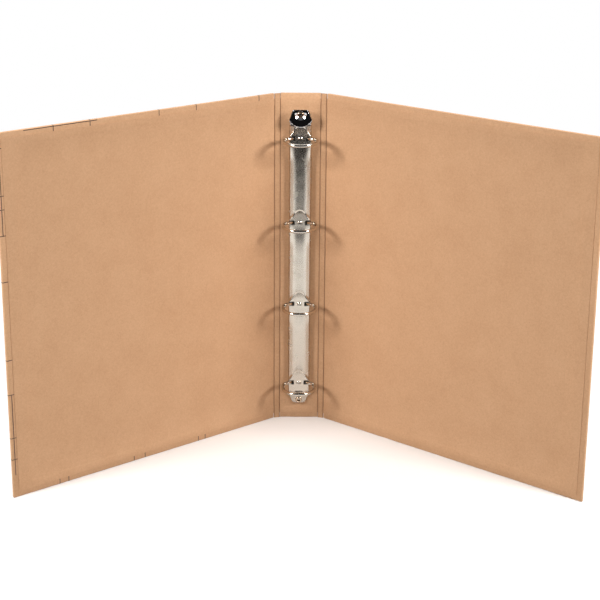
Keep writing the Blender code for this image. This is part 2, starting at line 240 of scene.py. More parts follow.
class Panel:
    """A panel's own axes: along it from its crease, outwards through it, and up."""

    def __init__(self, origin, along, outward):
        self.origin = Vector((origin[0], origin[1], 0))
        self.along = along.normalized()
        self.outward = outward.normalized()

    def at(self, along, outward, up):
        return self.origin + self.along * along + self.outward * outward + UP * up

    def box(self, node):
        """(low, high) of a CAD node in the panel's own axes."""
        points = [v.co - self.origin for v in frame["nodes"][node].data.vertices]
        local = [(p.dot(self.along), p.dot(self.outward), p.z) for p in points]
        return [Vector(map(pick, zip(*local))) for pick in (min, max)]


def crease(name):
    """A point on a crease's axis."""
    return Vector(JOINTS[name]["pos_m"])


def cover_panel(word):
    """The cover's axes: it turns as far again from the strip as the strip from the spine."""
    start, end = crease(f"{word}_spine_crease"), crease(f"{word}_cover_crease")
    strip = (end - start).normalized()
    side = SIDES[word]
    turn = Matrix.Rotation(-side * math.asin(abs(strip.y)), 3, "Z")
    along = turn @ strip
    return Panel(end, along, turn @ strip_outward(strip, side))


def strip_outward(strip, side):
    """The direction out through a hinge strip, away from the album's inside."""
    return Matrix.Rotation(side * math.pi / 2, 3, "Z") @ strip


def strip_panel(word):
    """The hinge strip's axes."""
    start, end = crease(f"{word}_spine_crease"), crease(f"{word}_cover_crease")
    strip = (end - start).normalized()
    return Panel(start, strip, strip_outward(strip, SIDES[word]))


CREASE_Y = crease("back_spine_crease").y
HALF_SPINE = crease("back_spine_crease").x
SPINE = Panel((0, CREASE_Y, 0), Vector((1, 0, 0)), Vector((0, 1, 0)))
STRIP_WIDTH = (crease("back_cover_crease") - crease("back_spine_crease")).length


# ---------------------------------------------------------------- materials


def principled(name, **values):
    """A new material with its shader's own sockets set."""
    mat = bpy.data.materials.new(name)
    mat.use_nodes = True
    shader = mat.node_tree.nodes["Principled BSDF"]
    for socket, value in values.items():
        shader.inputs[socket.replace("_", " ")].default_value = value
    return mat, mat.node_tree, shader


def colour_ramp(tree, factor, *stops):
    """Colour from a factor between two stops, each (position, hex colour)."""
    ramp = add(tree, "ShaderNodeValToRGB", {"Fac": factor})
    for element, (position, colour) in zip(ramp.color_ramp.elements, stops):
        element.position = position
        element.color = srgb(colour)
    return ramp.outputs["Color"]


def kraft_paper(name, light, dark, seed_shift):
    """Uncoated kraft paper: long brown fibres pressed flat, so its colour is softly
    mottled, with short dark and pale flecks, and it has no gloss."""
    mat, tree, shader = principled(name, Roughness=0.82, IOR=1.5)
    shader.inputs["Specular IOR Level"].default_value = 0.25
    coords = add(tree, "ShaderNodeTexCoord").outputs["Object"]
    placed = add(tree, "ShaderNodeMapping", {"Vector": coords, "Location": seed_shift})
    vector = placed.outputs["Vector"]
    # cloudy pulp, patches 25 mm across
    cloud = add(
        tree,
        "ShaderNodeTexNoise",
        {"Vector": vector, "Scale": 1 / (25 * MM), "Detail": 3.0, "Roughness": 0.6},
    )
    # felt-like mottle, 1.6 mm across
    mottle = add(
        tree,
        "ShaderNodeTexNoise",
        {"Vector": vector, "Scale": 1 / (1.6 * MM), "Detail": 3.0, "Roughness": 0.62},
    )
    both = add(
        tree,
        "ShaderNodeMix",
        {"Factor": 0.66, "A": cloud.outputs["Fac"], "B": mottle.outputs["Fac"]},
    )
    colour = colour_ramp(tree, both.outputs["Result"], (0.36, dark), (0.64, light))
    # fibre flecks about 3 x 0.4 mm, drawn wider than real ones so that they show
    for turn, fleck, strength in ((0.5, "94643F", 0.32), (2.1, "E2C19C", 0.35)):
        tilted = add(
            tree,
            "ShaderNodeMapping",
            {"Vector": vector, "Rotation": (turn, 0.4 * turn, turn), "Scale": (1.0, 7.0, 7.0)},
        )
        spots = add(
            tree,
            "ShaderNodeTexNoise",
            {"Vector": tilted.outputs["Vector"], "Scale": 1 / (3.0 * MM), "Detail": 1.0},
        )
        chosen = add(
            tree,
            "ShaderNodeMapRange",
            {
                "Value": spots.outputs["Fac"],
                "From Min": 0.66,
                "From Max": 0.74,
                "To Max": strength,
            },
        )
        mixed = add(
            tree,
            "ShaderNodeMix",
            {"Factor": chosen.outputs["Result"], "A": colour, "B": srgb(fleck)},
            data_type="RGBA",
        )
        colour = mixed.outputs["Result"]
    # painted shade: the paper's colour is darkened along its creases, where shade falls in the
    # grooves
    pressed = add(tree, "ShaderNodeAttribute", attribute_name="pressed").outputs["Fac"]
    crease_shaded = add(
        tree,
        "ShaderNodeMix",
        {"Factor": pressed, "A": colour, "B": srgb("6E4A30")},
        data_type="RGBA",
    )
    tree.links.new(crease_shaded.outputs["Result"], shader.inputs["Base Color"])
    # the sheet's tooth
    tooth = add(
        tree,
        "ShaderNodeTexNoise",
        {"Vector": vector, "Scale": 1 / (0.9 * MM), "Detail": 4.0, "Roughness": 0.7},
    )
    bump = add(
        tree,
        "ShaderNodeBump",
        {"Height": tooth.outputs["Fac"], "Strength": 0.3, "Distance": 0.06 * MM},
    )
    tree.links.new(bump.outputs["Normal"], shader.inputs["Normal"])
    return mat


def printed_ink(name):
    """Offset ink soaked into kraft paper: dark brown, broken a little by the fibres."""
    mat, tree, shader = principled(name, Roughness=0.7, IOR=1.5)
    coords = add(tree, "ShaderNodeTexCoord").outputs["Object"]
    fibres = add(
        tree, "ShaderNodeTexNoise", {"Vector": coords, "Scale": 1 / (0.7 * MM), "Detail": 3.0}
    )
    colour = colour_ramp(tree, fibres.outputs["Fac"], (0.45, "453129"), (0.75, "7A5A45"))
    tree.links.new(colour, shader.inputs["Base Color"])
    return mat


def grey_board(name):
    """Bookbinder's greyboard: pressed waste paper, dull grey-brown with specks."""
    mat, tree, shader = principled(name, Roughness=0.92, IOR=1.5)
    coords = add(tree, "ShaderNodeTexCoord").outputs["Object"]
    specks = add(
        tree, "ShaderNodeTexNoise", {"Vector": coords, "Scale": 1 / (1.2 * MM), "Detail": 4.0}
    )
    colour = colour_ramp(tree, specks.outputs["Fac"], (0.4, "7F776C"), (0.65, "A79E92"))
    tree.links.new(colour, shader.inputs["Base Color"])
    bump = add(
        tree,
        "ShaderNodeBump",
        {"Height": specks.outputs["Fac"], "Strength": 0.4, "Distance": 0.15 * MM},
    )
    tree.links.new(bump.outputs["Normal"], shader.inputs["Normal"])
    return mat


def plated_metal(name, colour, roughness, grain_mm, grain_depth, streak=(1.0, 1.0, 1.0)):
    """Plated steel: a clean metal colour whose fine grain breaks up its reflections."""
    mat, tree, shader = principled(name, Metallic=1.0)
    shader.inputs["Base Color"].default_value = srgb(colour)
    coords = add(tree, "ShaderNodeTexCoord").outputs["Object"]
    # handling marks and uneven plating, 9 mm across
    clouds = add(
        tree, "ShaderNodeTexNoise", {"Vector": coords, "Scale": 1 / (9 * MM), "Detail": 2.0}
    )
    rough = add(
        tree,
        "ShaderNodeMapRange",
        {
            "Value": clouds.outputs["Fac"],
            "From Min": 0.3,
            "From Max": 0.7,
            "To Min": roughness * 0.88,
            "To Max": roughness * 1.12,
        },
    )
    tree.links.new(rough.outputs["Result"], shader.inputs["Roughness"])
    drawn = add(tree, "ShaderNodeMapping", {"Vector": coords, "Scale": streak})
    grain = add(
        tree,
        "ShaderNodeTexNoise",
        {"Vector": drawn.outputs["Vector"], "Scale": 1 / (grain_mm * MM), "Detail": 2.0},
    )
    bump = add(
        tree,
        "ShaderNodeBump",
        {"Height": grain.outputs["Fac"], "Strength": 0.12, "Distance": grain_depth * MM},
    )
    tree.links.new(bump.outputs["Normal"], shader.inputs["Normal"])
    return mat


# Kraft papers: the same stock, cut from different places of the roll
COVER_KRAFT = kraft_paper("kraft cover paper", "D9AC85", "CEA079", (0.3, 0.1, 0.7))
LINER_KRAFT = kraft_paper("kraft liner paper", "D9AC85", "CEA079", (1.7, 0.9, 0.2))
HINGE_KRAFT = kraft_paper("pressed kraft hinge paper", "D4A781", "C89A73", (0.6, 2.1, 1.4))
GREYBOARD = grey_board("bookbinder greyboard")
# Offset ink on kraft: thin, nearly black, with the paper's dull surface
PRINT_INK = printed_ink("dark brown offset ink")
# Satin nickel: brushed lightly along its length before plating, a warm blurred gloss
PLATE_NICKEL = plated_metal(
    "satin nickel plated steel", "C4BDB2", 0.25, 1.0, 0.004, (1, 1, 0.15)
)
# Zinc plated spring steel: duller and greyer, with a faint spangle
BLADE_STEEL = plated_metal("zinc plated spring steel", "A8A7A4", 0.38, 1.5, 0.02)
# Bright nickel wire: polished, slightly warm
RING_NICKEL = plated_metal("bright nickel plated wire", "C4BEB5", 0.08, 1.2, 0.003)
# Polished chrome: a nearly perfect mirror with a cold tint
CHROME = plated_metal("polished chrome", "D6D7DA", 0.04, 3.0, 0.003)
# Tubular rivet: nickel over brass, warmer where the plating is thin in the bore
RIVET_NICKEL = plated_metal("nickel plated brass rivet", "C0AC96", 0.2, 0.9, 0.005)


# ---------------------------------------------------------------- case

EDGE_RADIUS = 0.6 * MM
EDGE_STEPS = 4
WRAP_WALL = 0.22 * MM
WRAP_START = 0.2 * MM  # from the crease, which leaves the hinge strip's tuck its room
TURN_IN_SIDE = 17 * MM
TURN_IN_ENDS = 11 * MM
HINGE_TURN_IN = 2.5 * MM
# Pressed crease, as (along from the crease, outward) from its bottom to the inner face
CREASE_SECTION = ((0.0, 0.14), (0.18, 0.08), (0.5, -0.2), (0.85, -0.3))
# Painted shade along the creases: how dark it makes the paper, and the distances over which it
# fades out
CREASE_SHADE_DARK = 0.55
CREASE_SHADE_REACH = (0.1 * MM, 0.7 * MM)
STRIP_TUCK = 0.18 * MM  # each end of a hinge strip runs on under its neighbour's edge
STRIP_END = 0.16 * MM  # how far outward those ends lie
STRIP_BACK = 0.3 * MM
LINER_SHEET = 0.2 * MM
LINER_SAG = 0.24 * MM  # how far the liner drops past the turn-ins' edges
SAG_WIDTH = 1.0 * MM


def wrapped_board(panel, low, high, closed):
    """Paper wrapped round a board: outer sheet, rounded edges and turn-ins.

    closed says whether the far edge has a full turn-in, as on a cover; the spine has
    turn-ins at its top and bottom only.
    """
    bm = bmesh.new()
    u_low, n_low, z_low = low
    u_high, n_high, z_high = high
    far = TURN_IN_SIDE if closed else HINGE_TURN_IN
    corners = [(u_low, z_low), (u_high, z_low), (u_high, z_high), (u_low, z_high)]
    window = [
        (u_low + HINGE_TURN_IN, z_low + TURN_IN_ENDS),
        (u_high - far, z_low + TURN_IN_ENDS),
        (u_high - far, z_high - TURN_IN_ENDS),
        (u_low + HINGE_TURN_IN, z_high - TURN_IN_ENDS),
    ]
    outer = [bm.verts.new((u, n_high, z)) for u, z in corners]
    inner = [bm.verts.new((u, n_low, z)) for u, z in corners]
    hole = [bm.verts.new((u, n_low, z)) for u, z in window]
    bm.faces.new(outer)
    rolled = []
    for i in range(4):
        j = (i + 1) % 4
        bm.faces.new((outer[i], outer[j], inner[j], inner[i]))
        bm.faces.new((inner[i], inner[j], hole[j], hole[i]))
        rolled += [(outer[i], outer[j]), (outer[i], inner[i]), (inner[i], inner[j])]
    edges = [bm.edges.get(pair) for pair in rolled]
    bmesh.ops.bevel(
        bm, geom=edges, offset=EDGE_RADIUS, segments=EDGE_STEPS, profile=0.5, affect="EDGES"
    )
    bmesh.ops.recalc_face_normals(bm, faces=bm.faces)
    if max(bm.faces, key=lambda f: f.calc_area()).normal.y < 0:
        bmesh.ops.reverse_faces(bm, faces=bm.faces)
    bm = thicken(bm, WRAP_WALL)
    for vert in bm.verts:
        vert.co = panel.at(*vert.co)
    return bm


def crease_ramp(along):
    """How far outward the inner face lies, this far from a pressed crease."""
    for (a, low), (b, high) in zip(CREASE_SECTION, CREASE_SECTION[1:]):
        if along <= b * MM:
            t = (along - a * MM) / ((b - a) * MM)
            return (low + (high - low) * max(0.0, t)) * MM
    return CREASE_SECTION[-1][1] * MM


def stations(points, spacing):
    """The given coordinates, with more between them so that no gap passes spacing."""
    result = []
    ordered = sorted(points)
    for a, b in zip(ordered, ordered[1:]):
        count = max(1, math.ceil((b - a) / spacing))
        result += [a + (b - a) * i / count for i in range(count)]
    return result + [ordered[-1]]


def liner_sheet(panel, u_span, z_span, creases, window):
    """The endpaper: pressed into the creases, and sagging a little off the turn-ins."""
    u_low, u_high = u_span
    press = [a * MM for a, _ in CREASE_SECTION]
    step = (-SAG_WIDTH, -SAG_WIDTH / 2, 0.0)
    us = [u_low, u_high]
    us += [u_low + p for p in press] if creases[0] else []
    us += [u_high - p for p in press] if creases[1] else [window[1] + s for s in step]
    zs = [*z_span] + [window[3] + s for s in step] + [window[2] - s for s in step]

    def place(u, z):
        outward = CREASE_SECTION[-1][1] * MM
        if creases[0]:
            outward = max(outward, crease_ramp(u - u_low))
        if creases[1]:
            outward = max(outward, crease_ramp(u_high - u))
        inside = min(z - window[2], window[3] - z)
        if not creases[1]:
            inside = min(inside, window[1] - u)
        return panel.at(u, outward + LINER_SAG * smooth_step(inside, 0, SAG_WIDTH), z)

    bm = sheet_grid(stations(us, 8 * MM), stations(zs, 20 * MM), place)

    # painted shade: the paper is darkened near each crease
    def pressed(point):
        along = (point - panel.origin).dot(panel.along)
        near = [abs(along - u) for u, folded in zip(u_span, creases) if folded]
        return CREASE_SHADE_DARK * (1 - smooth_step(min(near), *CREASE_SHADE_REACH))

    mark_crease_shade(bm, pressed)
    bmesh.ops.recalc_face_normals(bm, faces=bm.faces)
    bm.faces.ensure_lookup_table()
    if bm.faces[len(bm.faces) // 2].normal.dot(panel.outward) > 0:
        bmesh.ops.reverse_faces(bm, faces=bm.faces)
    return thicken(bm, LINER_SHEET)


def hinge_strip(panel, width, z_low, z_high):
    """The strip between two creases: pressed paper, thin at both of them."""
    inner = [(a * MM, n * MM) for a, n in CREASE_SECTION]
    inner += [(width - a, n) for a, n in reversed(inner)]
    outline = [(-STRIP_TUCK, STRIP_END), *inner, (width + STRIP_TUCK, STRIP_END)]
    outline += [(a, STRIP_BACK) for a in (width + STRIP_TUCK, width / 2, -STRIP_TUCK)]
    z_stations = stations([z_low, z_high], 20 * MM)
    bm = loft([[panel.at(a, n, z) for a, n in outline] for z in z_stations])

    # painted shade: the paper is darkened near both creases
    def pressed(point):
        along = (point - panel.origin).dot(panel.along)
        near = max(0.0, min(along, width - along))
        return CREASE_SHADE_DARK * (1 - smooth_step(near, *CREASE_SHADE_REACH))

    mark_crease_shade(bm, pressed)
    return bm


# Printed lines on the front cover, in mm from its crease and from its foot. Each
# comes over an edge of the board: (where, how far in on the outside, on the inside)
INK_WIDTH = 0.7 * MM
INK_RISE = 0.025 * MM
INK_ROOM = 0.03 * MM
INK_SINK = 0.02 * MM
INK_UNDER_LINER = 5.5 * MM  # each line ends under the liner, this far from the edge
LINES_OVER_TOP = ((222.5, 52.5), (188.6, 125.6), (122.0, 86.0), (84.2, 125.6), (17.3, 64.0))
LINES_OVER_FOOT = (
    (230.2, 55.0), (221.6, 35.3), (155.7, 125.6), (144.3, 94.6), (86.9, 194.4), (79.4, 55.0)
)
LINES_OVER_FORE_EDGE = (
    (307.0, 22.8), (267.5, 51.5), (256.0, 85.4), (234.0, 152.0), (194.4, 189.8),
    (125.6, 118.3), (94.6, 187.1), (55.0, 194.6), (35.3, 52.4),
)
# Lines that run along the turn-ins: (u, z) to (u, z)
LINES_ON_TURN_INS = (
    ((249.0, 319.0), (182.0, 319.0)),
    ((271.2, 307.0), (271.2, 234.0)),
    ((271.2, 94.6), (271.2, 20.6)),
)
# Lines on the outside only
LINES_OUTSIDE = (
    ((17.3, 256.0), (122.0, 256.0)),
    ((46.0, 256.0), (46.0, 100.0)),
    ((46.0, 140.0), (86.9, 140.0)),
    ((188.6, 194.4), (188.6, 125.6)),
    ((249.0, 307.0), (249.0, 234.0)),
)


def over_edge(low_n, high_n, outside, inside):
    """A line's way from the outer face over a rolled edge to the turn-in, as
    (distance in from the edge, outward, normal inward from the edge, normal outward)."""
    r = EDGE_RADIUS
    way = [(outside, high_n, 0.0, 1.0)]
    for quarter, middle in ((0, high_n - r), (1, low_n + r)):
        for i in range(EDGE_STEPS + 1):
            a = math.pi / 2 * (quarter + i / EDGE_STEPS)
            inward, outward = -math.sin(a), math.cos(a)
            way.append((r + r * inward, middle + r * outward, inward, outward))
    return way + [(inside, low_n, 0.0, -1.0)]


def ink_ribbon(bm, panel, points, normals, across):
    """Adds one printed line, a film of ink that follows the paper's surface."""
    sections = []
    half = Vector(across) * INK_WIDTH / 2
    for point, normal in zip(points, normals):
        top = Vector(point) + Vector(normal) * INK_RISE
        sunk = Vector(point) - Vector(normal) * INK_SINK
        corners = (top - half, top + half, sunk + half, sunk - half)
        sections.append([panel.at(*corner) for corner in corners])
    merge(bm, loft(sections))


def ink_lines(panel, low, high):
    """All the printed lines of a cover whose paper lies between low and high."""
    bm = bmesh.new()
    edges = [(LINES_OVER_TOP, "z", high.z, -1), (LINES_OVER_FOOT, "z", low.z, 1)]
    edges.append((LINES_OVER_FORE_EDGE, "u", high.x, -1))
    for lines, axis, edge, inward in edges:
        for where, outside in lines:
            way = over_edge(low.y, high.y, outside * MM, INK_UNDER_LINER)
            points, normals = [], []
            for distance, n, edge_normal, face_normal in way:
                e = edge + inward * distance
                tilt = inward * edge_normal
                on_end = axis == "z"
                points.append((where * MM, n, e) if on_end else (e, n, where * MM))
                normals.append((0, face_normal, tilt) if on_end else (tilt, face_normal, 0))
            ink_ribbon(bm, panel, points, normals, (1, 0, 0) if axis == "z" else (0, 0, 1))
    flat = [(line, low.y, -1) for line in LINES_ON_TURN_INS]
    flat += [(line, high.y, 1) for line in LINES_OUTSIDE]
    for ((u0, z0), (u1, z1)), n, way in flat:
        points = [(u0 * MM, n, z0 * MM), (u1 * MM, n, z1 * MM)]
        across = (1, 0, 0) if u0 == u1 else (0, 0, 1)
        ink_ribbon(bm, panel, points, [(0, way, 0)] * 2, across)
    return bm


def make_case():
    for word in SIDES:
        panel = cover_panel(word)
        low, high = panel.box(f"{word}_cover_paper")
        # the paper stops just short of its box, which leaves room for the ink's film
        film = Vector((0, INK_ROOM, INK_ROOM))
        low = Vector((WRAP_START, low.y, low.z)) + film
        high = high - Vector((INK_ROOM, 0, 0)) - film
        if word == "front":
            piece("front_cover_print", ink_lines(panel, low, high), PRINT_INK, "front_cover")
        piece(
            f"{word}_cover_wrap",
            wrapped_board(panel, low, high, closed=True),
            COVER_KRAFT,
            f"{word}_cover",
            [f"{word}_cover_paper"],
        )
        liner_low, liner_high = panel.box(f"{word}_liner")
        window = (0.0, high.x - TURN_IN_SIDE, low.z + TURN_IN_ENDS, high.z - TURN_IN_ENDS)
        sheet = liner_sheet(
            panel, (0.0, liner_high.x), (liner_low.z, liner_high.z), (True, False), window
        )
        piece(
            f"{word}_endpaper", sheet, LINER_KRAFT, f"{word}_cover", [f"{word}_liner"],
        )
        strip = hinge_strip(strip_panel(word), STRIP_WIDTH, low.z, high.z)
        piece(
            f"{word}_creased_strip", strip, HINGE_KRAFT, f"{word}_hinge",
            [f"{word}_hinge_strip"],
        )

    low, high = SPINE.box("spine_cover_paper")
    edge = HALF_SPINE - WRAP_START
    wrap = wrapped_board(
        SPINE, Vector((-edge, low.y, low.z)), Vector((edge, high.y, high.z)), closed=False
    )
    piece(
        "spine_wrap", wrap, COVER_KRAFT, "spine", ["spine_cover_paper"]
    )
    liner_low, liner_high = SPINE.box("spine_liner")
    window = (0.0, 0.0, low.z + TURN_IN_ENDS, high.z - TURN_IN_ENDS)
    sheet = liner_sheet(
        SPINE, (-HALF_SPINE, HALF_SPINE), (liner_low.z, liner_high.z), (True, True), window
    )
    piece("spine_endpaper", sheet, LINER_KRAFT, "spine", ["spine_liner"])
    for word in (*SIDES, "spine"):
        refinish(f"{word}_board", GREYBOARD)


# ---------------------------------------------------------------- ring mechanism

PLATE_LOW, PLATE_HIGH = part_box("ring_plate")
HALF_PLATE = PLATE_HIGH.x
CROWN = SPINE_FACE - PLATE_LOW.y
PLATE_GAP = SPINE_FACE - PLATE_HIGH.y
PLATE_SHEET = 0.8 * MM
# The foot, as (distance above the plate's lower end, half width, height)
FOOT = (
    (0.0, 5.0 * MM, 2.1 * MM),
    (0.9 * MM, 6.3 * MM, 2.5 * MM),
    (3.0 * MM, 7.4 * MM, 2.8 * MM),
    (9.8 * MM, HALF_PLATE, 4.2 * MM),
    (13.8 * MM, HALF_PLATE, CROWN),
)
ARCH_END_Z = 290.5 * MM
# Half of the plate's section: level at its crown, then falling away ever faster up to
# its steepest; past the last of these shares it rolls over into the skirt
ARCH_TURN = (0.1, 0.7)
ARCH_FALL = 0.79
ARCH_SHARES = (0.0, 0.05, 0.1, 0.15, 0.2, 0.245, 0.29, 0.325, 0.36, 0.39, 0.42, 0.451)
ARCH_SHARES += (0.5, 0.55, 0.6, 0.65, 0.7, 0.75, 0.8, 0.84, 0.88, 0.92)
SKIRT_SHARE = 0.3  # below this share of the crown's height the skirt is upright
SKIRT = ((0.951, 0.52), (0.981, 0.45), (0.996, 0.37))
SKIRT += ((1.0, SKIRT_SHARE), (1.0, 0.16), (1.0, 0.044))


def arch_height(share):
    """Share of the crown's height at this share of the half width."""
    start, end = ARCH_TURN
    t = min(1.0, max(0.0, (share - start) / (end - start)))
    fallen = (end - start) * (t**3 - t**4 / 2) + max(0.0, share - end)
    return 1 - ARCH_FALL * fallen


PLATE_SECTION = tuple((share, arch_height(share)) for share in ARCH_SHARES) + SKIRT
SLOT_COLUMNS = (11, 24)  # which of those points a ring slot reaches between
SLOT_HALF_HEIGHT = 2.1 * MM
# The flat pressed round each ring's slots: its height above the spine, and its half
# width at distances above the ring, where it narrows to a rounded top
FLAT_HEIGHT = 6.2 * MM
FLAT_CORNER = 0.9  # share of the half width past which the flat rolls over to the skirt
FLAT_ABOVE = ((2.3, 9.9), (4.5, 8.3), (7.0, 6.3), (9.0, 5.0), (10.6, 3.6))
FLAT_ABOVE += ((11.6, 2.2), (12.2, 0.0))
FLAT_BELOW = 3.0 * MM
FLAT_FADE = 22.0 * MM  # below the ring the flat runs out slowly into the arch
FLAT_EDGE = 1.7 * MM
TAB_RADIUS = 2.1 * MM
TAB_HEIGHT = 1.1 * MM
TAB_RISE = 2.4 * MM
TAB_EDGE = -0.5 * MM  # the louvre's open edge, from the ring's middle
TAB_SLIT = 1.0 * MM
SLIT_COLUMNS = 4


def interpolate(table, value):
    """Reads a table of (key, values...) rows with smooth steps between its rows."""
    for low, high in zip(table, table[1:]):
        if value <= high[0]:
            t = smooth_step(value, low[0], high[0])
            return [a + (b - a) * t for a, b in zip(low[1:], high[1:])]
    return list(table[-1][1:])


def plate_size(z):
    """(half width, crown height) of the plate at z: a low tapered foot, then the arch."""
    return interpolate(FOOT, z - PLATE_LOW.z)


def flat_share(x, z):
    """How much the pressed flat has replaced the arch at this place, from 0 to 1."""
    share = 0.0
    for ring_z in RING_Z:
        up = z - ring_z
        if up >= 0:
            half = flat_half_width(up)
            share = max(share, smooth_step(half - x, -FLAT_EDGE / 2, FLAT_EDGE / 2))
        else:
            share = max(share, 1 - smooth_step(-up, FLAT_BELOW, FLAT_FADE))
    return share


def flat_half_width(up):
    """The flat's half width at this height above a ring; below zero past its top."""
    table = [(d * MM, w * MM) for d, w in FLAT_ABOVE]
    if up <= table[0][0]:
        return table[0][1] + MM
    for (low, wide), (high, narrow) in zip(table, table[1:]):
        if up <= high:
            return wide + (narrow - wide) * (up - low) / (high - low)
    return -MM


def plate_height(share_x, share_h, z):
    """How far the plate's face stands off the spine, at these shares and at z."""
    half, crown = plate_size(z)
    height = crown * share_h
    x = abs(share_x) * half
    if crown == CROWN and share_h > SKIRT_SHARE:
        rolled = max(0.0, (abs(share_x) - FLAT_CORNER) / (1 - FLAT_CORNER))
        fall = 1 - math.sqrt(max(0.0, 1 - min(1.0, rolled) ** 2))
        flat = FLAT_HEIGHT - fall * (FLAT_HEIGHT - SKIRT_SHARE * crown)
        height += (flat - height) * flat_share(x, z)
    for ring_z in RING_Z:
        up = z - ring_z - TAB_EDGE
        if -1e-7 <= up < TAB_RISE:
            round_off = 1 - (x / TAB_RADIUS) ** 2 - (up / TAB_RISE) ** 2
            height += TAB_HEIGHT * math.sqrt(max(0.0, round_off))
    return height


def make_ring_plate():
    section = [(-x, h) for x, h in reversed(PLATE_SECTION[1:])] + list(PLATE_SECTION)
    marks = [PLATE_LOW.z + above for above, _, _ in FOOT[:3]] + [ARCH_END_Z]
    # rows every 0.5 mm over the pressed flat and every 0.3 mm over the louvre
    fine = []
    for ring_z in RING_Z:
        tab = ring_z + TAB_EDGE
        fine += [ring_z - SLOT_HALF_HEIGHT, ring_z + SLOT_HALF_HEIGHT, tab, tab - TAB_SLIT]
        fine += [tab - 0.02 * MM, tab + TAB_RISE]
        fine += [ring_z + d * 0.5 * MM for d in range(-10, 27)]
        fine += [tab + d * 0.3 * MM for d in range(1, 8)]
    lowest = PLATE_LOW.z
    kept = [lowest + i * 0.7 * MM for i in range(22)] + marks
    rows = sorted({round(z, 6) for z in fine + kept if lowest <= z <= ARCH_END_Z})
    rows = stations(rows, 4 * MM)

    def place(column, z):
        share_x, share_h = section[column]
        half, _ = plate_size(z)
        return (share_x * half, SPINE_FACE - plate_height(share_x, share_h, z), z)

    columns = list(range(len(section)))
    bm = sheet_grid(columns, rows, place)
    middle = len(PLATE_SECTION) - 1
    cut = []
    bm.faces.ensure_lookup_table()
    across = len(columns) - 1
    for r in range(len(rows) - 1):
        z = (rows[r] + rows[r + 1]) / 2
        ring_z = min(RING_Z, key=lambda ring: abs(ring - z))
        in_slot = abs(z - ring_z) < SLOT_HALF_HEIGHT
        in_slit = -TAB_SLIT < z - ring_z - TAB_EDGE < 0
        for c in range(across):
            from_middle = abs(c + 0.5 - middle)
            face = bm.faces[r * across + c]
            if in_slot and SLOT_COLUMNS[0] < from_middle < SLOT_COLUMNS[1]:
                cut.append(face)
            if in_slit and from_middle < SLIT_COLUMNS:
                cut.append(face)
    bmesh.ops.delete(bm, geom=cut, context="FACES")
    bmesh.ops.recalc_face_normals(bm, faces=bm.faces)
    bm.faces.ensure_lookup_table()
    if sum(f.normal.y for f in bm.faces) > 0:
        bmesh.ops.reverse_faces(bm, faces=bm.faces)
    bm = thicken(bm, PLATE_SHEET)
    merge(bm, plate_tongue())
    piece(
        "ring_cover_plate", bm, PLATE_NICKEL, "spine", ["ring_plate"],
        smooth_angle=40,
    )


# The tongue's right edge from the arch up, as (across, height) in mm
TONGUE_EDGE = ((9.8, 285.5), (9.8, 290.3), (8.4, 291.0), (8.4, 297.0))
TONGUE_EDGE += ((7.9, 299.5), (6.6, 303.6))
TONGUE_TOP = (5.6, 2.0)
TONGUE_CENTRE_Z = 295 * MM
TONGUE_BEVEL = 0.15 * MM
TONGUE_BEVEL_INSET = 0.985
# Openings and blocks as two corners of (across, height above the spine's face, z) in mm
TAIL_WINDOW = ((-3.1, 3.0, 287.0), (3.1, -1.0, 296.7))
EAR = ((7.6, 5.4, 292.5), (8.4, PLATE_GAP / MM + 0.1, 296.9))
EAR_ROUNDING = 0.2 * MM


def on_spine(corner, hand=1):
    """A point from (across, height above the spine's face, z) in mm."""
    across, height, z = corner
    return (hand * across * MM, SPINE_FACE - height * MM, z * MM)


def plate_tongue():
    """The flat end past the arch that the top rivet holds, with the lever's two ears."""
    half = [(x * MM, z * MM) for x, z in TONGUE_EDGE]
    half += [(x * MM, PLATE_HIGH.z) for x in TONGUE_TOP]
    outline = half + [(-x, z) for x, z in reversed(half)]
    low, high = PLATE_GAP, PLATE_GAP + PLATE_SHEET
    sections = []
    for height, inset in (
        (low, TONGUE_BEVEL_INSET),
        (low + TONGUE_BEVEL, 1.0),
        (high - TONGUE_BEVEL, 1.0),
        (high, TONGUE_BEVEL_INSET),
    ):
        section = []
        for x, z in outline:
            along = TONGUE_CENTRE_Z + (z - TONGUE_CENTRE_Z) * inset
            section.append((x * inset, SPINE_FACE - height, along))
        sections.append(section)
    # the lever's tail passes through a window in the tongue
    bm = cut_out(loft(sections), *(on_spine(corner) for corner in TAIL_WINDOW))
    for hand in HANDS.values():
        merge(bm, rounded_block(*(on_spine(corner, hand) for corner in EAR), EAR_ROUNDING))
    return bm


RING_RADIUS = 15 * MM
RING_CENTRE = 19.5 * MM
WIRE_RADIUS = 1.5 * MM
TIP_GAP = 0.16 * MM
RING_CORNER = (8.2 * MM, 14.2 * MM)  # the rear corners' centre, (across, height)
RING_CORNER_RADIUS = 6.8 * MM
RING_CORNER_TURN = math.radians(62)
RING_ROOT = ((9.6, 7.25), (8.2, 6.2), (7.2, 5.0), (6.7, 3.8), (6.6, 2.5))  # in mm
FRONT_STEPS = 30
CORNER_STEPS = 14
WIRE_SIDES = 28


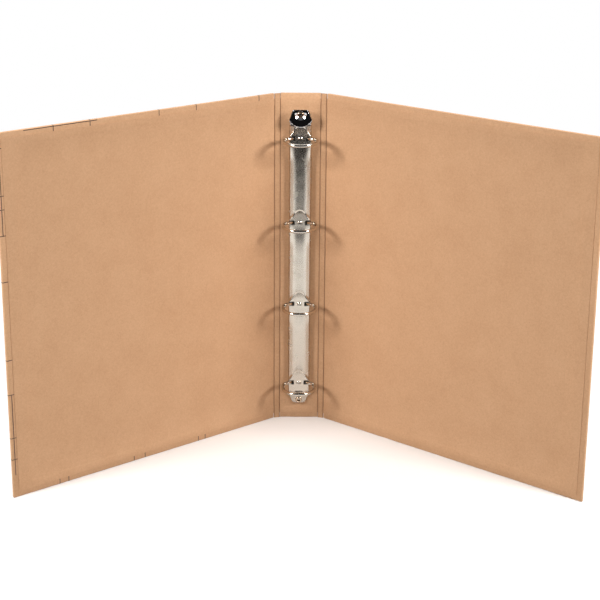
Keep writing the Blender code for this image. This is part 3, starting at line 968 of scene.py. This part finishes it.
def wire_tree():
    """A node tree that sweeps round wire along a path, as a wire former bends it."""
    tree = bpy.data.node_groups.new("formed wire", "GeometryNodeTree")
    face = tree.interface
    face.new_socket("Path", in_out="INPUT", socket_type="NodeSocketGeometry")
    face.new_socket("Wire Radius", in_out="INPUT", socket_type="NodeSocketFloat")
    face.new_socket("Sides", in_out="INPUT", socket_type="NodeSocketInt")
    face.new_socket("Level", in_out="INPUT", socket_type="NodeSocketFloat")
    face.new_socket("Finish", in_out="INPUT", socket_type="NodeSocketMaterial")
    face.new_socket("Wire", in_out="OUTPUT", socket_type="NodeSocketGeometry")
    given = add(tree, "NodeGroupInput").outputs
    path = add(tree, "GeometryNodeMeshToCurve", {"Mesh": given["Path"]})
    round_wire = add(
        tree,
        "GeometryNodeCurvePrimitiveCircle",
        {"Resolution": given["Sides"], "Radius": given["Wire Radius"]},
    )
    swept = add(
        tree,
        "GeometryNodeCurveToMesh",
        {
            "Curve": path.outputs["Curve"],
            "Profile Curve": round_wire.outputs["Curve"],
            "Fill Caps": True,
        },
    )
    lift = add(tree, "ShaderNodeCombineXYZ", {"Z": given["Level"]})
    lifted = add(
        tree,
        "GeometryNodeTransform",
        {"Geometry": swept.outputs["Mesh"], "Translation": lift.outputs["Vector"]},
    )
    real = add(tree, "GeometryNodeRealizeInstances", {"Geometry": lifted.outputs["Geometry"]})
    finished = add(
        tree,
        "GeometryNodeSetMaterial",
        {"Geometry": real.outputs["Geometry"], "Material": given["Finish"]},
    )
    add(tree, "NodeGroupOutput", {"Wire": finished.outputs["Geometry"]})
    return tree


def ring_path(hand):
    """The half ring's middle line, from its tip to its root on the blade."""
    tip = math.pi - math.asin(TIP_GAP / 2 / RING_RADIUS)
    points = []
    for i in range(FRONT_STEPS + 1):
        angle = tip + (math.pi / 2 - tip) * i / FRONT_STEPS
        points.append(
            (RING_RADIUS * math.sin(angle), RING_CENTRE - RING_RADIUS * math.cos(angle))
        )
    for i in range(CORNER_STEPS + 1):
        angle = RING_CORNER_TURN * i / CORNER_STEPS
        across = RING_CORNER[0] + RING_CORNER_RADIUS * math.cos(angle)
        points.append((across, RING_CORNER[1] - RING_CORNER_RADIUS * math.sin(angle)))
    points += [(across * MM, height * MM) for across, height in RING_ROOT]
    return [Vector((hand * across, SPINE_FACE - height, 0)) for across, height in points]


def formed_wire(tree, points, sides, level, finish):
    """Runs the wire tree on a path and gives back a plain bmesh."""
    mesh = bpy.data.meshes.new("path")
    mesh.from_pydata(points, [(i, i + 1) for i in range(len(points) - 1)], [])
    obj = bpy.data.objects.new("path", mesh)
    bpy.context.collection.objects.link(obj)
    modifier = obj.modifiers.new("wire", "NODES")
    modifier.node_group = tree
    values = {"Wire Radius": WIRE_RADIUS, "Sides": sides, "Level": level, "Finish": finish}
    for item in tree.interface.items_tree:
        if item.in_out == "INPUT" and item.name in values:
            modifier[item.identifier] = values[item.name]
    depsgraph = bpy.context.evaluated_depsgraph_get()
    result = bpy.data.meshes.new_from_object(obj.evaluated_get(depsgraph))
    obj.modifiers.clear()
    bm = bmesh.new()
    bm.from_mesh(result)
    bpy.data.objects.remove(obj, do_unlink=True)
    bpy.data.meshes.remove(result)
    bpy.data.meshes.remove(mesh)
    return bm


def make_rings():
    tree = wire_tree()
    for word, hand in HANDS.items():
        for number, ring_z in zip(RING_NUMBERS, RING_Z):
            bm = formed_wire(tree, ring_path(hand), WIRE_SIDES, ring_z, RING_NICKEL)
            name = f"ring_{number}_{word}"
            piece(
                f"{name}_wire", bm, RING_NICKEL, f"{word}_rings", [name],
                smooth_angle=50,
            )
        refinish(f"blade_{word}", BLADE_STEEL)
    refinish("lever_pin", BLADE_STEEL)


# The lever pad's outline, half of it, (across, z) in mm from its outer corner down
PAD_OUTLINE = ((0.0, 306.3), (7.0, 306.3), (8.6, 302.6), (10.7, 297.0), (8.4, 293.6))
PAD_POINT = ((4.6, 291.0), (1.6, 290.15), (0.0, 290.0))
PAD_CENTRE_Z = 300.0 * MM
PEEP_Z = 302.0 * MM
PEEP_RADIUS = 3.2 * MM
# The facets along the pad's upper sides: where they start and end, their width at the
# foot, how much that grows with height, and their slope
PAD_FACET_FOOT = (296.4 * MM, 297.6 * MM)
PAD_FACET_TOP = (305.4 * MM, 306.2 * MM)
PAD_FACET_WIDTH = (0.8 * MM, 0.1)
PAD_FACET_SLOPE = 0.52
# The dish round the peep hole: its radius, the width of its soft shoulder and its slope
DISH_RADIUS = 6.1 * MM
DISH_SHOULDER = 1.0 * MM
DISH_SLOPE = 0.62
DISH_RUN_OUT = (-0.3, 0.4)  # where it ends, as shares of the way up round the hole
# The pad's faces from its rim to the peep hole and back underneath, as (share of the
# way, height in mm, whether the facets count, whether the dish counts)
PAD_SURFACE = (
    ((0.0, 6.9, 0, 0), (0.0, 8.5, 1, 0), (0.01, 8.57, 1, 0))
    + tuple((share / 100, 8.6, 1, 1) for share in range(4, 97, 4))
    + ((0.985, 8.58, 0, 1), (1.0, 8.45, 0, 1), (1.0, 7.9, 0, 1), (0.7, 8.0, 0, 1))
    + ((0.4, 7.9, 0, 1), (0.2, 7.7, 0, 1), (0.1, 7.0, 0, 0))
)


def dish_drop(x, z):
    """How far the finger dish has sunk here; it runs out towards the pad's upper end."""
    away = math.hypot(x, z - PEEP_Z)
    soft = smooth_step(DISH_RADIUS - away, 0, DISH_SHOULDER)
    sunk = DISH_SLOPE * max(0.0, DISH_RADIUS - DISH_SHOULDER / 2 - away) * soft
    upward = (z - PEEP_Z) / max(away, 1e-9)
    return sunk * (1 - smooth_step(upward, *DISH_RUN_OUT))


def pad_outline_point(angle):
    """Where a ray from the pad's centre meets its outline, at an angle from +X."""
    right = [Vector((x * MM, z * MM - PAD_CENTRE_Z)) for x, z in PAD_OUTLINE + PAD_POINT]
    left = [Vector((-p.x, p.y)) for p in reversed(right[1:-1])]
    outline = right + left
    ray = Vector((math.cos(angle), math.sin(angle)))
    for a, b in zip(outline, outline[1:] + outline[:1]):
        edge = b - a
        cross = ray.x * edge.y - ray.y * edge.x
        if abs(cross) < 1e-12:
            continue
        t = (a.x * edge.y - a.y * edge.x) / cross
        s = (a.x * ray.y - a.y * ray.x) / cross
        if t > 0 and -1e-9 <= s <= 1 + 1e-9:
            return ray * t
    raise ValueError("the pad's outline is open")


# Blocks under the pad as two corners of (across, height above the spine's face, z from
# the pin's axis) in mm
CHEEK = ((8.7, 8.1, -2.2), (9.7, 1.4, 2.6))
CHEEK_ROUNDING = 0.35 * MM
TAIL_WEB = ((-2.6, 7.8, 1.3), (2.6, 0.7, 1.9))
TAIL = ((-2.6, 1.1, -4.0), (2.6, 0.7, 1.9))
TAIL_ROUNDING = 0.1 * MM
PAD_SEGMENTS = 120


def by_pin(corner, hand=1):
    """A point from (across, height above the spine's face, z from the pin's axis) in mm."""
    across, depth, z = on_spine(corner, hand)
    low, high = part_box("lever_pin")
    return (across, depth, low.z / 2 + high.z / 2 + z)


def make_lever():
    segments = PAD_SEGMENTS
    raw = [pad_outline_point(2 * math.pi * i / segments) for i in range(segments)]
    # the corners are rounded off by averaging neighbours twice
    for _ in range(2):
        raw = [(raw[i - 1] + raw[i] * 2 + raw[(i + 1) % segments]) / 4 for i in range(segments)]
    sections = []
    for share, height, facetted, dished in PAD_SURFACE:
        section = []
        for i, point in enumerate(raw):
            a = 2 * math.pi * i / segments
            outer = Vector((point.x, point.y + PAD_CENTRE_Z))
            inner = Vector((PEEP_RADIUS * math.cos(a), PEEP_Z + PEEP_RADIUS * math.sin(a)))
            spot = outer.lerp(inner, share)
            facet = smooth_step(outer.y, *PAD_FACET_FOOT)
            facet *= 1 - smooth_step(outer.y, *PAD_FACET_TOP)
            width = PAD_FACET_WIDTH[0] + PAD_FACET_WIDTH[1] * (outer.y - PAD_FACET_FOOT[1])
            cut = max(0.0, width - (spot - outer).length) * PAD_FACET_SLOPE * facet
            lifted = height * MM - facetted * cut - dished * dish_drop(spot.x, spot.y)
            section.append((spot.x, SPINE_FACE - lifted, spot.y))
        sections.append(section)
    bm = loft(sections + sections[:1], closed_ends=False)
    for hand in HANDS.values():
        corners = [by_pin(corner, hand) for corner in CHEEK]
        merge(bm, rounded_block(*corners, CHEEK_ROUNDING, segments=3))
    for block in (TAIL_WEB, TAIL):
        merge(bm, rounded_block(*(by_pin(corner) for corner in block), TAIL_ROUNDING))
    piece("lever_pad", bm, CHROME, "lever", ["lever"], smooth_angle=50)


# A rivet's profile as (radius, depth) in mm: the rolled head and the tube's front end
# are measured back from the head's top, the back cap forward from the cap's outside
RIVET_HEAD = ((1.25, 1.6), (1.3, 0.5), (1.5, 0.12), (1.9, 0.0), (2.3, 0.06), (2.75, 0.3))
RIVET_HEAD += ((2.98, 0.6), (3.0, 0.9), (2.0, 0.9))
RIVET_CAP = ((2.0, 1.2), (4.4, 1.2), (4.5, 1.05), (4.35, 0.78), (3.8, 0.45), (2.8, 0.16))
RIVET_CAP += ((1.5, 0.03), (0.0, 0.0), (0.0, 0.4), (1.2, 0.6))


def make_rivets():
    for name in ("rivet_bottom", "rivet_top"):
        low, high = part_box(name)
        profile = [(radius * MM, low.y + depth * MM) for radius, depth in RIVET_HEAD]
        profile += [(radius * MM, high.y - depth * MM) for radius, depth in RIVET_CAP]
        bm = turned(profile, (0, 0, (low.z + high.z) / 2))
        piece(f"{name}_tube", bm, RIVET_NICKEL, "spine", [name], smooth_angle=50)


# ---------------------------------------------------------------- studio


# (name, place, (width, height) in metres, power in watts)
SOFTBOXES = (
    ("key softbox, left", (-1.1, -0.72, 0.9), (0.45, 0.45), 21.5),
    ("second softbox, right", (1.17, -0.72, 0.9), (0.45, 0.45), 23),
    ("background softbox", (0.0, 1.0, 1.5), (2.4, 0.9), 30),
)
STUDIO_DARK = 0.008
STUDIO_TOP = 0.15
FLOOR_BOUNCE = "9C9A98"
TABLE_X = (-1.15, 0.0, 1.15)
TABLE_Y = (-0.55, 0.4, 1.0)  # from a little in front of the album to far behind it
ALBUM_MIDDLE = (0, 0.05, 0.16)


def area_light(name, place, target, size, power):
    light = bpy.data.lights.new(name, "AREA")
    light.shape = "RECTANGLE"
    light.size, light.size_y = size
    light.energy = power
    obj = bpy.data.objects.new(name, light)
    bpy.context.collection.objects.link(obj)
    obj.location = place
    obj.rotation_euler = (Vector(target) - Vector(place)).to_track_quat("-Z", "Y").to_euler()
    return obj


def make_studio():
    mat, tree, shader = principled("matt studio floor", Roughness=0.9, IOR=1.45)
    coords = add(tree, "ShaderNodeTexCoord").outputs["Object"]
    faint = add(tree, "ShaderNodeTexNoise", {"Vector": coords, "Scale": 3.0, "Detail": 2.0})
    tone = colour_ramp(tree, faint.outputs["Fac"], (0.0, "F4F3F1"), (1.0, "F8F7F6"))
    tree.links.new(tone, shader.inputs["Base Color"])
    # the light it throws back on the paper is held down, as with a far larger studio
    dull = add(tree, "ShaderNodeBsdfDiffuse", {"Color": srgb(FLOOR_BOUNCE)})
    bounced = add(tree, "ShaderNodeLightPath").outputs["Is Diffuse Ray"]
    held = add(
        tree, "ShaderNodeMixShader", {0: bounced, 1: shader.outputs[0], 2: dull.outputs[0]}
    )
    tree.links.new(held.outputs["Shader"], tree.nodes["Material Output"].inputs["Surface"])
    floor = as_object("floor", sheet_grid(TABLE_X, TABLE_Y, lambda x, y: (x, y, 0.0)))
    floor.data.materials.append(mat)

    make_world()
    for name, place, size, power in SOFTBOXES:
        target = (place[0], place[1], 0.0) if place[1] > 0 else ALBUM_MIDDLE
        area_light(name, place, target, size, power)


def make_world():
    """A dim studio round a bright table: paler overhead, dark low down."""
    world = bpy.data.worlds.new("studio air")
    bpy.context.scene.world = world
    world.use_nodes = True
    tree = world.node_tree
    dim = tree.nodes["Background"]
    direction = add(tree, "ShaderNodeTexCoord").outputs["Generated"]
    height = add(tree, "ShaderNodeSeparateXYZ", {"Vector": direction}).outputs["Z"]
    tone = add(tree, "ShaderNodeValToRGB", {"Fac": height})
    tone.color_ramp.elements[0].position = 0.4
    tone.color_ramp.elements[0].color = (*[STUDIO_DARK] * 3, 1.0)
    tone.color_ramp.elements[1].position = 0.8
    tone.color_ramp.elements[1].color = (*[STUDIO_TOP] * 3, 1.0)
    tree.links.new(tone.outputs["Color"], dim.inputs["Color"])
    white = add(tree, "ShaderNodeBackground", {"Color": srgb("FFFFFF"), "Strength": 1.0})
    seen = add(tree, "ShaderNodeLightPath").outputs["Is Camera Ray"]
    mixed = add(tree, "ShaderNodeMixShader", {0: seen, 1: dim.outputs[0], 2: white.outputs[0]})
    tree.links.new(mixed.outputs["Shader"], tree.nodes["World Output"].inputs["Surface"])


CAMERA_SENSOR = 36.0
CAMERA_LENS = 83.19
CAMERA_SHIFT = -0.18  # keeps the album's uprights nearly parallel
CAMERA_PLACE = (-0.0001, SPINE_FACE - 1.23569, 0.57465)
CAMERA_PITCH = 0.2744
CAMERA_ROLL = 0.0073


def make_camera():
    camera = bpy.data.cameras.new("camera")
    camera.sensor_width = CAMERA_SENSOR
    camera.lens = CAMERA_LENS
    camera.shift_y = CAMERA_SHIFT
    camera.clip_start = 0.01
    obj = bpy.data.objects.new("camera", camera)
    bpy.context.collection.objects.link(obj)
    obj.location = CAMERA_PLACE
    tilt = Matrix.Rotation(math.pi / 2 - CAMERA_PITCH, 3, "X")
    obj.rotation_euler = (tilt @ Matrix.Rotation(CAMERA_ROLL, 3, "Z")).to_euler()
    bpy.context.scene.camera = obj


def main():
    scene = bpy.context.scene
    scene.view_settings.view_transform = "Standard"
    make_camera()
    make_studio()
    make_case()
    make_ring_plate()
    make_rings()
    make_lever()
    make_rivets()


main()
